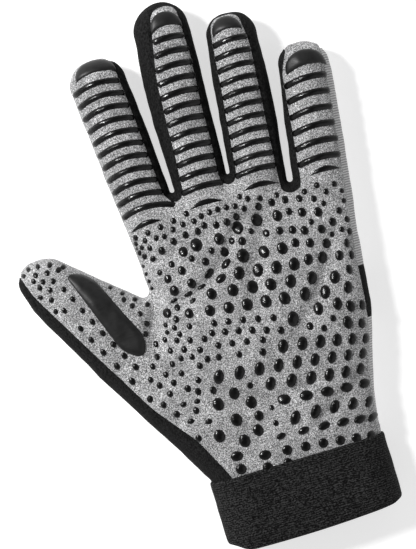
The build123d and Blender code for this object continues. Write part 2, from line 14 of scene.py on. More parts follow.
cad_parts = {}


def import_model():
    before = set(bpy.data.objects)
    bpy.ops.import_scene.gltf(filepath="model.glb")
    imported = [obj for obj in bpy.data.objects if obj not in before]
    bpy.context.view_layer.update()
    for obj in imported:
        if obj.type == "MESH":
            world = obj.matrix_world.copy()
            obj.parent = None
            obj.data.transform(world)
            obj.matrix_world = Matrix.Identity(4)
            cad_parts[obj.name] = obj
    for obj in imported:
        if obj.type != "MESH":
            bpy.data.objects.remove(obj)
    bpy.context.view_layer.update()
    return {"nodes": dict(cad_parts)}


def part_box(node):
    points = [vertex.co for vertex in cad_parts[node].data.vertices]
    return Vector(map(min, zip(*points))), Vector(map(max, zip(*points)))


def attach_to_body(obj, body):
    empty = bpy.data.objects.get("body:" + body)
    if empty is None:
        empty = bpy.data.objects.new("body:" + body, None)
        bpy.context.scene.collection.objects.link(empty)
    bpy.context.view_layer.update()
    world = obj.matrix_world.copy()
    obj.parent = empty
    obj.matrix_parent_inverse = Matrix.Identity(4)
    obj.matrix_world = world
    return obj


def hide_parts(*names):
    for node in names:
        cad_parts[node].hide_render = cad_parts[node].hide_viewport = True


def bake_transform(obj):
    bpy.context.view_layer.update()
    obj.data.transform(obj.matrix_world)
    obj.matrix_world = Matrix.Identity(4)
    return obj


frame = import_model()

MM = 0.001

# ---------------- driving dimensions, pattern frame, millimetres and degrees
CUFF_TOP = -89.0  # y of the cuff's upper edge
CUFF_LEFT, CUFF_RIGHT = -24.6, 53.8
_, cuff_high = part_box("cuff_outer")
SHIFT = (cuff_high[0] / MM - CUFF_RIGHT, cuff_high[1] / MM - CUFF_TOP)  # from here to the shared frame

MIDDLE_Z = 10.5  # height of the rim where the palm side meets the back
HALF = 10.4  # from the rim up to the palm side of a finger
ROUND = 13.0  # distance in from the rim over which the fabric curves
SKIN = 0.9  # fabric thickness
FLOOR_GAP = 0.02  # no fabric reaches lower than this
BACK_SEAM = 2.2  # the back panel starts this far in from the rim
HIDDEN_Y = -93.0  # the hand's fabric ends here, inside the cuff
WRIST_LEFT, WRIST_RIGHT = -24.5, 53.7
WALL_END = -160.0  # distances from the rim are measured to an outline that runs on to here, past the cut end
WEB = 0.95  # corner radius at the bottom of a gap between two fingers

STEP = 1.25  # mesh spacing
FINE_STEP = 0.6  # spacing of the line that the bars are trimmed to
TURN_STEP = 0.35  # most that a rounded corner turns between two points, in radians

# The whole hand seen from above, clockwise from the wrist's left side: x, y and corner radius.
SILHOUETTE = [
    (WRIST_LEFT, HIDDEN_Y, 0), (WRIST_LEFT, -87.5, 8), (-57.8, -32, 120), (-78.5, 6, 60),
    (-84.5, 27.2, 9.5), (-65.5, 27.8, 14), (-26.4, -5.5, 3), (-28, 18, 80),
    (-36.6, 106.6, 11.5), (-10.6, 105.2, 11), (-5.7, 39.5, WEB), (-3.7, 39.5, WEB),
    (-3.8, 85, 120), (-0.4, 122.5, 12.5), (23.6, 121.2, 11), (22.6, 85, 120),
    (20.3, 40.2, WEB), (22.3, 40.2, WEB), (26.3, 80, 120), (30.8, 110, 9.5),
    (51.6, 108.8, 11.5), (51.2, 80, 120), (45.7, 29.5, WEB), (47.7, 29.5, WEB),
    (54.6, 70, 120), (57.4, 87.4, 9.5), (78.8, 87.6, 10.5), (78.0, 68, 60), (69, -2, 60),
    (65.5, -33, 60), (57, -65, 60), (WRIST_RIGHT, -86, 20), (WRIST_RIGHT, HIDDEN_Y, 0),
]

# The front panel in the same way. It is sewn where this line is inside the silhouette, and ends at the rim
# where it is outside.
FRONT_EDGE = [
    (-15.5, -100, 0), (-15.5, -88, 6), (-25, -69, 40), (-40, -50.5, 60), (-76.5, 12, 40), (-81, 25, 3),
    (-82, 36, 0), (-48, 36, 0), (-48, 114, 0), (-18, 114, 0), (-12.8, 97, 12), (-8.4, 40, 6), (-4.3, 32.5, 3),
    (-0.3, 38.5, 6), (2.3, 88, 80), (8.5, 119, 6), (20, 120, 5), (20.5, 95, 60), (17.2, 39, 6),
    (20.6, 32.8, 3), (24.4, 39, 6), (30.6, 98, 50), (32.5, 108.4, 5), (45.5, 108.6, 5), (46.8, 92, 50),
    (41.7, 26, 3), (46.2, 24, 4), (50.2, 26, 3), (56.2, 76, 20), (61, 86, 4), (61, 96, 0), (77, 96, 0),
    (76.6, 80, 10), (70.8, 30, 60), (65.5, -10, 40), (62, -42, 60), (56, -64, 30), (53.9, -86, 0),
    (53.9, -100, 0),
]

# Each finger. sides: x between it and its left and right neighbour, at NECK_Y and at TIP_Y. creases: their y.
# bend: half the length of each bending stretch. bars: lowest y, pitch, count, width, sag, x of the lowest and
# the highest. tip: the pad's lower and upper y, the x of its middle and half its width.
FINGERS = {
    "index": dict(
        sides=((-60, -60), (-4.7, -4.7)),
        creases=(45.0, 68.2),
        bend=(5.4, 6.0),
        bars=(36.5, 5.82, 11, 2.7, 2.8, -18, -22.5),
        tip=(99.6, 105.6, -22.3, 9.4),
    ),
    "middle": dict(
        sides=((-4.7, -4.7), (21.3, 24.5)),
        creases=(47.2, 71.0),
        bend=(6.0, 6.0),
        bars=(38.2, 6.07, 12, 2.9, 1.9, 8.5, 12.5),
        tip=(110.2, 116.6, 13.4, 7.0),
    ),
    "ring": dict(
        sides=((21.3, 24.5), (46.7, 57.5)),
        creases=(46.4, 69.2),
        bend=(5.8, 6.0),
        bars=(38.6, 5.78, 11, 2.7, 1.8, 33.5, 39),
        tip=(101.2, 107.4, 38.6, 6.6),
    ),
    "little": dict(
        sides=((46.7, 57.5), (110, 110)),
        creases=(38.8, 52.7),
        bend=(7.0, 6.0),
        bars=(35.6, 7.05, 6, 2.9, 2.0, 61, 66),
        tip=(76.2, 83.2, 67.4, 9.2),
    ),
}
NECK_Y, TIP_Y = 26.0, 125.0
ENDS = ("_lower", "_upper")  # a finger's or the thumb's two bodies, from the hand outwards
BODY_NAMES = ["hand"] + [digit + end for digit in [*FINGERS, "thumb"] for end in ENDS]

THUMB_WEB = np.array((-26.2, -5.8))  # bottom of the gap between the thumb and the hand
THUMB_FOLD = 23.5  # turn of the thumb's root crease, clockwise from +Y
THUMB_AIM = 41.0  # turn of the thumb, anticlockwise from +Y
GAP_TURN = 27.0  # turn of a line through the gap beside the thumb, anticlockwise from +Y
THUMB_KNUCKLE = 29.0  # from THUMB_WEB to the thumb's middle crease, along the thumb
THUMB_ROOT_BEND = (3.6, 15.0)  # the thumb's root bends between these distances beyond its crease
THUMB_KNUCKLE_BEND = 7.0  # half the length of the bending stretch at the middle crease

# Where the side pieces part.
PATCH_TOP, PATCH_LOW = -15.0, -38.0  # y of the black patch in the outer strip
OUTER_STRIP = (51.5, 34)  # the hand's outer strip is right of this x and below this y
LAST_WEB = (55, 20)  # except left of this x and above this y, which is the last finger gap's strip
THUMB_STRIP = (-10, 20)  # the thumb's strip on the hand is left of this x and below this y
WEB_ENDS = (8, 33)  # the first and the second finger gap's strips end at these x
LITTLE_MIDDLE = 66.0  # the little finger's side is the outer strip beyond this x

# Print. Heights are above the fabric, and edges are the widths over which a print rounds off.
BAR_REACH = 13.0  # half the length of a bar before it is trimmed to the front panel
BAR_HEIGHT = 0.95
BASE_BARS = [  # crescents at the bottom of the fingers, from x, y to x, y
    (-27.5, 27.2, -12.6, 28.8),
    (0.2, 29.6, 15.6, 29.4),
    (25.0, 30.6, 41.4, 29.8),
    (55.2, 28.9, 69.6, 28.3),
]
BASE_BAR_RISE = (0.3, 2.8)  # how far a crescent's lower and upper edges bow
BASE_BAR_HEIGHT, BASE_BAR_EDGE = 0.7, 0.9
TIP_DROP = 2.0  # how far the corners of a tip pad hang below its lower edge's crown
TIP_HEIGHT, TIP_EDGE = 0.8, 1.6
THUMB_PAD = [(-60.5, 18.2, 1.5), (-50.5, 15.5, 14), (-34.2, -18, 12), (-36.5, -27.5, 3.2), (-45.5, -22, 14)]
THUMB_PAD_HEIGHT, THUMB_PAD_EDGE = 1.35, 3.0
THUMB_PAD_STEPS = (0.7, 0.9)  # its mesh spacing along the outline and inside
BURIED = 0.35  # how deep a print's underside sits in the fabric
SUNK = 0.04  # how far a print's upper edge starts below the fabric's surface
SLIMMER = 0.25  # power of a dot's length over its width by which it is drawn slimmer than in the frame
WIDEST_RATIO = 1.7  # a larger ratio belongs to a dot that is cut short
CUT_SHORT = 0.5  # a dot that reaches within this of the cuff is cut short by it
RIM_GAP = 0.35  # a dot keeps this far from the rim


# ---------------- flat geometry
def turned(angle):
    """Unit vector at an anticlockwise angle from +Y."""
    return np.array((-math.sin(math.radians(angle)), math.cos(math.radians(angle))))


CREASE_DIR = turned(-THUMB_FOLD)
THUMB_OUT = turned(90 - THUMB_FOLD)
THUMB_DIR = turned(THUMB_AIM)
KNUCKLE_DIR = turned(THUMB_AIM - 90)
KNUCKLE = THUMB_WEB + THUMB_DIR * THUMB_KNUCKLE


def rounded(corners, step):
    """Closed line through rounded corners of x, y and radius, as points at most a step apart."""
    flat = [np.array(c[:2], float) for c in corners]
    line = []
    for i, corner in enumerate(flat):
        before, after = flat[i - 1] - corner, flat[(i + 1) % len(flat)] - corner
        before, after = before / np.linalg.norm(before), after / np.linalg.norm(after)
        radius = corners[i][2]
        if radius == 0:
            line.append(corner)
            continue
        half_angle = math.acos(np.clip(before @ after, -1, 1)) / 2
        reach = radius / math.tan(half_angle)
        start, end = corner + before * reach, corner + after * reach
        centre = corner + (before + after) / np.linalg.norm(before + after) * radius / math.sin(half_angle)
        turn = math.pi - 2 * half_angle
        a, b = start - centre, end - centre
        count = max(2, math.ceil(radius * turn / step), math.ceil(turn / TURN_STEP))
        for k in range(count + 1):
            u = k / count
            line.append(centre + (math.sin((1 - u) * turn) * a + math.sin(u * turn) * b) / math.sin(turn))
    points = []
    for i, p in enumerate(line):
        q = line[(i + 1) % len(line)]
        count = max(1, math.ceil(np.linalg.norm(q - p) / step))
        points += [p + (q - p) * k / count for k in range(count)]
    return np.array(points)


def inside(line, points):
    """Which points are inside a closed line."""
    x, y = points[:, 0], points[:, 1]
    result = np.zeros(len(points), bool)
    for a, b in zip(line, np.roll(line, -1, axis=0)):
        if a[1] != b[1]:
            crosses = (a[1] > y) != (b[1] > y)
            result ^= crosses & (x < a[0] + (y - a[1]) * (b[0] - a[0]) / (b[1] - a[1]))
    return result


def distance(line, points, closed=True):
    """Distance from each point to a line, measured for a batch of points at a time to save memory."""
    batch = 4000
    a = line if closed else line[:-1]
    b = np.roll(line, -1, axis=0) if closed else line[1:]
    run = b - a
    length_2 = np.maximum((run**2).sum(1), 1e-12)
    result = np.empty(len(points))
    for i in range(0, len(points), batch):
        p = points[i : i + batch, None, :]
        t = np.clip(((p - a) * run).sum(2) / length_2, 0, 1)
        near = a + t[..., None] * run
        result[i : i + batch] = np.sqrt(((p - near) ** 2).sum(2).min(1))
    return result


def nearest_on(line, points):
    """Nearest point of a closed line to each point, and how far round the line that is, in its own runs."""
    run = np.roll(line, -1, axis=0) - line
    t = np.clip(((points[:, None] - line) * run).sum(2) / (run**2).sum(1), 0, 1)
    foot = line + t[..., None] * run
    nearest = ((points[:, None] - foot) ** 2).sum(2).argmin(axis=1)
    every = np.arange(len(points))
    return foot[every, nearest], nearest + t[every, nearest]


RIM = rounded(SILHOUETTE, STEP)
WRIST_CORNERS = [(WRIST_RIGHT, WALL_END, 0), (WRIST_LEFT, WALL_END, 0)]
RIM_WALL = rounded([corner for corner in SILHOUETTE if corner[1] > HIDDEN_Y] + WRIST_CORNERS, STEP)
FRONT = rounded(FRONT_EDGE, STEP)
FINE_FRONT = rounded(FRONT_EDGE, FINE_STEP)


def smooth(t):
    """0 to 1 with a soft start and a soft end."""
    t = np.clip(t, 0, 1)
    return t * t * (3 - 2 * t)


def dome(d, edge):
    """Height, 0 to 1, at a distance in from an outline: a quarter ellipse as wide as the edge."""
    t = np.clip(d / edge, 0, 1)
    return np.sqrt(1 - (1 - t) ** 2)


# ---------------- the filled glove's surface
PALM_MOUNDS = [((22, -28), (36, 46), 4.2), ((-14, -45), (16, 34), 2.2)]  # middle, half widths, height

# Soft folds of the palm: a line, its depth and its half width.
PALM_FOLDS = [
    ([(-19.0, -7.5), (-9.0, -6.8), (0.5, -1.6), (9.0, 5.0), (14.0, 13.0), (20.5, 19.0)], 1.9, 2.6),
    ([(31.0, 21.0), (26.5, 8.0), (20.5, -4.0), (17.0, -14.5)], 1.9, 4.0),
    ([(58.0, 2.0), (50.0, -12.0), (43.5, -22.0), (31.0, -35.0)], 1.7, 3.6),
    ([(-26.0, 14.0), (-15.0, 12.0), (-4.0, 17.0), (8.0, 17.5)], 1.3, 3.2),
    ([(-10.0, -50.0), (0.0, -58.0), (12.0, -60.5), (26.0, -59.0)], 1.5, 3.5),
    ([(30.0, -75.0), (41.0, -68.0), (52.0, -62.0)], 1.5, 3.5),
]
THUMB_VALLEY = ([(-25.0, -2.0), (-27.5, -11.0), (-31.0, -18.0), (-31.5, -25.0), (-30.0, -33.0)], 4.6, 3.6)
VALLEY_START, VALLEY_FADE = -36, 26  # the valley deepens from this y up, over this length

# Uneven fabric: push, size, and where in the noise each of its three layers starts.
RIPPLES = [(0.45, 21, (2, 5, 0)), (0.30, 11, (0, 0, 0)), (0.17, 4.6, (7, 3, 1))]


def lift(d):
    """Height of the surface over the rim, 0 to 1, at a distance in from it."""
    return dome(d, ROUND)


def mound(points, middle, size):
    """A soft hill that is 1 high."""
    x, y = points[:, 0], points[:, 1]
    return np.exp(-(((x - middle[0]) / size[0]) ** 2) - ((y - middle[1]) / size[1]) ** 2)


def fold(points, line, depth, width):
    """Depth of a soft fold along a line."""
    return depth * np.exp(-((distance(np.array(line), points, closed=False) / width) ** 2))


def palm_height(points, d):
    """z of the palm side."""
    z = MIDDLE_Z + HALF * lift(d)
    for middle, size, height in PALM_MOUNDS:
        z += height * mound(points, middle, size) * lift(d)
    for shape in PALM_FOLDS:
        z -= fold(points, *shape) * lift(d)
    z -= fold(points, *THUMB_VALLEY) * smooth((points[:, 1] - VALLEY_START) / VALLEY_FADE) * lift(d)
    return z


def back_height(d):
    """z of the back."""
    return MIDDLE_Z * (1 - lift(d))


def ripple(x, y, z):
    """Uneven fabric: a push along the surface's normal, in millimetres."""
    p = Vector((x, y, z))
    return sum(push * noise.noise(p / size + Vector(start)) for push, size, start in RIPPLES)


# ---------------- bodies and cut lines
def side_x(line, y):
    """x at a height of one of the lines between two fingers."""
    return line[0] + (line[1] - line[0]) * (y - NECK_Y) / (TIP_Y - NECK_Y)


def thumb_measures(points):
    """Distance beyond the thumb's root crease and its middle crease, and on the thumb's side of the gap."""
    from_web = points - THUMB_WEB
    beyond_gap = from_web @ turned(GAP_TURN + 90)
    return from_web @ THUMB_OUT, (points - KNUCKLE) @ THUMB_DIR, beyond_gap


def body_index(points):
    """The stretch of fabric that each point belongs to, as its place in BODY_NAMES."""
    x, y = points[:, 0], points[:, 1]
    result = np.zeros(len(points), int)
    for name, finger in FINGERS.items():
        left, right = finger["sides"]
        across = (x > side_x(left, y)) & (x < side_x(right, y))
        for end, crease, half in zip(ENDS, finger["creases"], finger["bend"]):
            result[across & (y > crease - half)] = BODY_NAMES.index(name + end)
    root, knuckle, gap = thumb_measures(points)
    thumb = (root > 0) & (gap > 0)
    result[thumb] = BODY_NAMES.index("thumb_lower")
    result[thumb & (knuckle > -THUMB_KNUCKLE_BEND)] = BODY_NAMES.index("thumb_upper")
    return result


def cut_lines():
    """Short lines where one stretch of fabric ends and the next starts, each reaching past the silhouette."""
    left_end, right_end = -37, 80
    root_length, gap_length = 75, 8
    knuckle_right, knuckle_left = 5, 40
    patch_left, patch_right = 59.5, 72
    lines = []
    for finger in FINGERS.values():
        left, right = finger["sides"]
        for crease, half in zip(finger["creases"], finger["bend"]):
            y = crease - half
            lines.append(((max(side_x(left, y), left_end), y), (min(side_x(right, y), right_end), y)))
    lines.append((THUMB_WEB, THUMB_WEB - CREASE_DIR * root_length))
    lines.append((THUMB_WEB, THUMB_WEB + turned(GAP_TURN) * gap_length))
    knuckle = KNUCKLE - THUMB_DIR * THUMB_KNUCKLE_BEND
    lines.append((knuckle + KNUCKLE_DIR * knuckle_right, knuckle - KNUCKLE_DIR * knuckle_left))
    for y in (PATCH_TOP, PATCH_LOW):
        lines.append(((patch_left, y), (patch_right, y)))
    return lines


# ---------------- sheets of triangles over the flat outline
def triangulate(points, edges, outline):
    """Constrained triangles inside an outline: points and triangles, with new points where edges cross."""
    weld, smallest_area = 1e-5, 1e-6
    result = delaunay_2d_cdt([Vector(p) for p in points], edges, [], 0, weld, False)
    flat = np.array([tuple(v) for v in result[0]])
    triangles = np.array([f for f in result[2] if len(f) == 3])
    middle = flat[triangles].mean(axis=1)
    a, b, c = (flat[triangles[:, k]] for k in range(3))
    area = (b[:, 0] - a[:, 0]) * (c[:, 1] - a[:, 1]) - (b[:, 1] - a[:, 1]) * (c[:, 0] - a[:, 0])
    keep = inside(outline, middle) & (np.abs(area) > smallest_area)
    triangles, area = triangles[keep], area[keep]
    triangles[area < 0] = triangles[area < 0][:, ::-1]
    return flat, triangles


def inward(line, depth):
    """Points of a closed line moved inwards, where they then stay about that far from it."""
    probe, nearly = 0.2, 0.985
    before, after = np.roll(line, 1, axis=0), np.roll(line, -1, axis=0)
    run = after - before
    run /= np.linalg.norm(run, axis=1)[:, None]
    normal = np.stack([run[:, 1], -run[:, 0]], axis=1)
    if not inside(line, line[:1] + normal[:1] * probe)[0]:
        normal = -normal
    moved = line + normal * depth
    keep = distance(line, moved) > depth * nearly
    return moved[keep & inside(line, moved)]


def hexagons(low, high, step):
    """Points of a triangular grid over a box."""
    rows = np.arange(low[1], high[1], step * math.sqrt(0.75))
    columns = np.arange(low[0], high[0], step)
    return np.array([(x + (k % 2) * step / 2, y) for k, y in enumerate(rows) for x in columns])


def add_line(points, edges, line, closed=False):
    """Adds a line's points and its edges to the lists."""
    start = len(points)
    points += [tuple(p) for p in line]
    edges += [(start + k, start + k + 1) for k in range(len(line) - 1)]
    if closed:
        edges.append((start + len(line) - 1, start))


def subdivided(a, b, step):
    """Points from a to b, at most a step apart."""
    a, b = np.array(a, float), np.array(b, float)
    count = max(1, math.ceil(np.linalg.norm(b - a) / step))
    return [a + (b - a) * k / count for k in range(count + 1)]


def seam_runs():
    """Stretches of the front panel's edge that lie inside the silhouette, one point more at each end."""
    within = inside(RIM, FRONT)
    near = within | np.roll(within, 1) | np.roll(within, -1)
    first = int(np.argmin(near))
    line, near = np.roll(FRONT, -first, axis=0), np.roll(near, -first)
    runs, run = [], []
    for p, use in zip(line, near):
        if use:
            run.append(p)
        elif run:
            runs.append(np.array(run))
            run = []
    return runs + ([np.array(run)] if run else [])


SEAMS = seam_runs()


def seam_distance(points):
    """Distance from each point to the front panel's seam."""
    return np.min([distance(run, points, closed=False) for run in SEAMS], axis=0)


def wrap_ends():
    """Short lines in from the rim, below each place where the front panel's seam runs over the side."""
    near_rim, above_end = 1.5, 4
    probe, probe_step = 0.4, 10
    first, spacing = 0.05, 0.5
    lines = []
    for run in SEAMS:
        for line in (run, run[::-1]):
            crossing = line[1] if inside(RIM, line[1:2])[0] else line[0]
            foot = nearest_on(RIM_WALL, crossing[None])[0][0]
            if distance(RIM_WALL, line[:1])[0] > near_rim or foot[1] < HIDDEN_Y + above_end:
                continue
            probes = foot + probe * np.array([turned(angle) for angle in range(0, 360, probe_step)])
            depth = np.where(inside(RIM, probes), distance(RIM_WALL, probes), 0)
            inwards = (probes[depth.argmax()] - foot) / probe
            lines.append(subdivided(foot + inwards * first, foot + inwards * BACK_SEAM, spacing))
    return lines


def sheet(rim, lines):
    """Triangles inside the rim that follow some lines: rows along the rim, and a grid further in."""
    rows, grid_start = (0.22, 0.85, 1.8, 3.0, 4.2), 5.2
    grid_low, grid_high = (-86, HIDDEN_Y), (82, 125)
    clearance = 0.6
    points, edges = [], []
    add_line(points, edges, rim, closed=True)
    for line in lines:
        add_line(points, edges, line)
    grid = hexagons(grid_low, grid_high, STEP)
    grid = grid[inside(RIM, grid)]
    grid = grid[distance(RIM_WALL, grid) > grid_start]
    free = np.concatenate([inward(RIM_WALL, depth) for depth in rows] + [grid])
    free = free[free[:, 1] > HIDDEN_Y + clearance]
    gap = np.min([distance(np.array(line), free, closed=False) for line in lines], axis=0)
    points += [tuple(p) for p in free[gap > clearance]]
    return triangulate(points, edges, RIM)


def skin():
    """The hand's fabric as one mesh: vertices, triangles, which are the back's, and depth from the rim."""
    on_line, past_end = 1e-3, 1.5
    cuts = [subdivided(a, b, STEP) for a, b in cut_lines()]
    top, top_faces = sheet(RIM, cuts + [list(run) for run in SEAMS])
    used = np.unique(top_faces)
    on_rim = used[distance(RIM, top[used]) < on_line]
    on_rim = on_rim[np.argsort(nearest_on(RIM, top[on_rim])[1])]
    back_seam = inward(RIM_WALL, BACK_SEAM)
    back_seam = back_seam[back_seam[:, 1] > HIDDEN_Y - past_end]
    # The line is open at the wrist, so it starts after its longest gap.
    split = int(np.argmax(np.linalg.norm(back_seam - np.roll(back_seam, 1, axis=0), axis=1)))
    back_seam = np.roll(back_seam, -split, axis=0)
    low, low_faces = sheet(top[on_rim], cuts + [list(back_seam)] + wrap_ends())
    points = np.concatenate([top, low])
    depth = distance(RIM_WALL, points)
    z = np.concatenate([palm_height(top, depth[: len(top)]), back_height(depth[len(top) :])])
    vertices = np.column_stack([points, z])
    # The back's rim points become the front's.
    index = np.arange(len(points))
    rim_key = {tuple(np.round(top[i], 3)): i for i in on_rim}
    for i in np.unique(low_faces):
        index[len(top) + i] = rim_key.get(tuple(np.round(low[i], 3)), len(top) + i)
    faces = np.concatenate([top_faces, index[low_faces + len(top)][:, ::-1]])
    is_back = np.arange(len(faces)) >= len(top_faces)
    return vertices, faces, is_back, depth


def vertex_normals(vertices, faces):
    """Normals at the vertices, each the mean of its triangles' by area."""
    a, b, c = (vertices[faces[:, k]] for k in range(3))
    cross = np.cross(b - a, c - a)
    normals = np.zeros_like(vertices)
    for k in range(3):
        np.add.at(normals, faces[:, k], cross)
    return normals / np.maximum(np.linalg.norm(normals, axis=1), 1e-9)[:, None]


# ---------------- meshes
def place(points):
    """Pattern frame in millimetres to shared frame in metres."""
    return (np.asarray(points, float) + (SHIFT[0], SHIFT[1], 0)) * MM


def add_object(name, data):
    """A new object in the scene."""
    obj = bpy.data.objects.new(name, data)
    bpy.context.scene.collection.objects.link(obj)
    return obj


def build_mesh(name, vertices, faces, material, normals=None):
    """A smooth mesh object in the scene, from pattern frame points."""
    mesh = bpy.data.meshes.new(name)
    mesh.from_pydata([tuple(v) for v in place(vertices)], [], [tuple(int(i) for i in f) for f in faces])
    mesh.materials.append(material)
    mesh.polygons.foreach_set("use_smooth", [True] * len(mesh.polygons))
    if normals is not None:
        mesh.normals_split_custom_set_from_vertices([tuple(n) for n in normals])
    mesh.update()
    return add_object(name, mesh)


def boundary(faces):
    """Edges that only one face uses, in that face's direction."""
    edges = dict.fromkeys((int(a), int(b)) for f in faces for a, b in zip(f, np.roll(f, -1)))
    return [(a, b) for a, b in edges if (b, a) not in edges]


def renumbered(faces):
    """The vertices that some faces use, and the faces in the numbers of these."""
    used, new = np.unique(faces, return_inverse=True)
    return used, new.reshape(faces.shape)


def thick(vertices, faces, normals, thickness):
    """A sheet given thickness towards its inside: vertices, faces and normals."""
    used, faces = renumbered(faces)
    outer, n = vertices[used], normals[used]
    count = len(used)
    walls = [(b, a, a + count, b + count) for a, b in boundary(faces)]
    every = [tuple(f) for f in faces] + [tuple(f[::-1] + count) for f in faces] + walls
    return np.concatenate([outer, outer - n * thickness]), every, np.concatenate([n, -n])


def attach(obj, body_name, replaced):
    """Hides the CAD part that a piece replaces. A piece on the hand is tied to the hand; for a finger's or
    the thumb's piece the stretch where its joint bends is worked out and its placing is baked into its mesh,
    but it is tied to no body and does not bend.
    """
    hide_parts(replaced)
    if body_name == "hand":
        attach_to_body(obj, "hand")
        return
    finger, end = body_name.rsplit("_", 1)
    if finger == "thumb":
        at, way = (THUMB_WEB, THUMB_OUT) if end == "lower" else (KNUCKLE, THUMB_DIR)
        near, far = THUMB_ROOT_BEND if end == "lower" else (-THUMB_KNUCKLE_BEND, THUMB_KNUCKLE_BEND)
        start, stop = at + way * near, at + way * far
    else:
        k = 0 if end == "lower" else 1
        y, half = FINGERS[finger]["creases"][k], FINGERS[finger]["bend"][k]
        start, stop = (0, y - half), (0, y + half)
    start, stop = place([(*start, 0), (*stop, 0)])
    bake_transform(obj)


# ---------------- silicone print
def print_surface(points):
    """Points on the palm side's fabric and the normals there. The steepest stretch at the rim is left out."""
    steep, step = 0.25, 0.05

    def height(at):
        return palm_height(at, np.maximum(distance(RIM_WALL, at), steep))

    z = height(points)
    slopes = []
    for axis in (0, 1):
        moved = points.copy()
        moved[:, axis] += step
        slopes.append((height(moved) - z) / step)
    normals = np.column_stack([-slopes[0], -slopes[1], np.ones(len(points))])
    normals /= np.linalg.norm(normals, axis=1)[:, None]
    base = np.column_stack([points, z])
    push = np.array([ripple(*p) for p in base])
    return base + normals * push[:, None], normals


def patch(outline, height, edge, step=0.8):
    """A domed patch of silicone over an outline: plan points, height of each, and triangles."""
    rows, grid_start = (0.12, 0.35), 0.62
    rings = [inward(outline, depth) for depth in rows if depth < edge]
    grid = hexagons(outline.min(axis=0), outline.max(axis=0), step)
    grid = grid[inside(outline, grid)]
    grid = grid[distance(outline, grid) > grid_start]
    free = np.concatenate([r for r in rings + [grid] if len(r)])
    points, edges = [], []
    add_line(points, edges, outline, closed=True)
    points += [tuple(p) for p in free]
    flat, faces = triangulate(points, edges, outline)
    return flat, height * dome(distance(outline, flat), edge), faces


def dot_height(half_length, gap):
    """Height of a dot: larger ones are higher, and ones beside the rim are lower."""
    base, growth = 0.32, 0.26
    share_at_rim, share_growth = 0.4, 0.4
    return (base + growth * half_length) * min(1, share_at_rim + share_growth * gap)


def dot_patch(x, y, rx, ry, turn, height):
    """A domed dot: plan points, heights and faces."""
    rings, segments, fullness = (0.30, 0.58, 0.80, 0.93, 1.0), 16, 2.2
    cos, sin = math.cos(turn), math.sin(turn)
    points, heights = [(x, y)], [height]
    for ring in rings:
        for k in range(segments):
            angle = 2 * math.pi * k / segments
            a, b = rx * ring * math.cos(angle), ry * ring * math.sin(angle)
            points.append((x + a * cos - b * sin, y + a * sin + b * cos))
            heights.append(height * math.sqrt(max(0.0, 1 - ring**fullness)))
    faces = [(0, 1 + k, 1 + (k + 1) % segments) for k in range(segments)]
    for r in range(len(rings) - 1):
        a, b = 1 + r * segments, 1 + (r + 1) * segments
        for k in range(segments):
            n = (k + 1) % segments
            faces += [(a + k, b + k, b + n), (a + k, b + n, a + n)]
    return np.array(points), np.array(heights), np.array(faces)


def print_piece(name, patches, material, part=None):
    """One object from several patches, closed underneath, or only some triangles of its only patch."""
    points, heights, faces, count = [], [], [], 0
    for flat, height, triangles in patches:
        used, triangles = renumbered(triangles)
        points.append(flat[used])
        heights.append(height[used])
        faces.append(triangles + count)
        count += len(used)
    points, heights, faces = np.concatenate(points), np.concatenate(heights), np.concatenate(faces)
    surface, normals = print_surface(points)
    top = surface + normals * (heights - SUNK)[:, None]
    if part is None:
        vertices, every, _ = thick(top, faces, normals, 0)
        vertices[count:] = surface - normals * BURIED
        return build_mesh(name, vertices, every, material)
    # A cut print keeps the whole print's normals, so that no line shows where its parts meet.
    smooth_normals = vertex_normals(top, faces)
    vertices, every, shading = thick(top, faces[part], smooth_normals, 0)
    used = np.unique(faces[part])
    vertices[len(used) :] = (surface - normals * BURIED)[used]
    return build_mesh(name, vertices, every, material, shading)


def bar_outline(centre, width, sag):
    """Outline of one arched bar, as long as the front panel is wide, with short rounded ends."""
    rim_gap, seam_gap = 0.4, 0.05
    samples, spacing, fewest, crowding = 121, 0.7, 8, 0.3
    end_length, end_width = 0.6, 0.3
    uneven_by, uneven_over = 0.07, 3.1
    x, y = centre
    across = np.linspace(x - BAR_REACH, x + BAR_REACH, samples)
    line = np.column_stack([across, y - sag * ((across - x) / BAR_REACH) ** 2])
    within = inside(FINE_FRONT, line) & inside(RIM, line) & (distance(RIM_WALL, line) > rim_gap)
    within &= seam_distance(line) > seam_gap
    start, end = line[within][0], line[within][-1]
    length = end[0] - start[0]
    # The points crowd towards the bar's two ends.
    u = np.linspace(0, 1, max(fewest, int(length / spacing)))
    u = 0.5 - 0.5 * np.cos(np.pi * u) * (1 + crowding * np.sin(np.pi * u) ** 2)
    xs = start[0] + length * u
    ys = y - sag * ((xs - x) / BAR_REACH) ** 2
    from_end = np.minimum(u, 1 - u) * length
    uneven = [uneven_by * noise.noise(Vector((px / uneven_over, y, width))) for px in xs]
    half = width / 2 * np.sqrt(np.clip(from_end / end_length, end_width, 1)) + uneven
    slope = -2 * sag * (xs - x) / BAR_REACH**2
    nx, ny = -slope / np.hypot(slope, 1), 1 / np.hypot(slope, 1)
    upper = np.column_stack([xs + nx * half, ys + ny * half])
    lower = np.column_stack([xs - nx * half, ys - ny * half])
    return np.concatenate([lower, upper[::-1]])


def lens_outline(left, right, low_rise, high_rise):
    """Crescent between two points whose edges bow towards the fingertips."""
    samples = 22
    u = np.linspace(0, 1, samples)
    bow = 4 * u * (1 - u)
    x = left[0] + (right[0] - left[0]) * u
    y = left[1] + (right[1] - left[1]) * u
    low = np.column_stack([x, y + low_rise * bow])
    high = np.column_stack([x, y + high_rise * bow])
    return np.concatenate([low, high[-2:0:-1]])


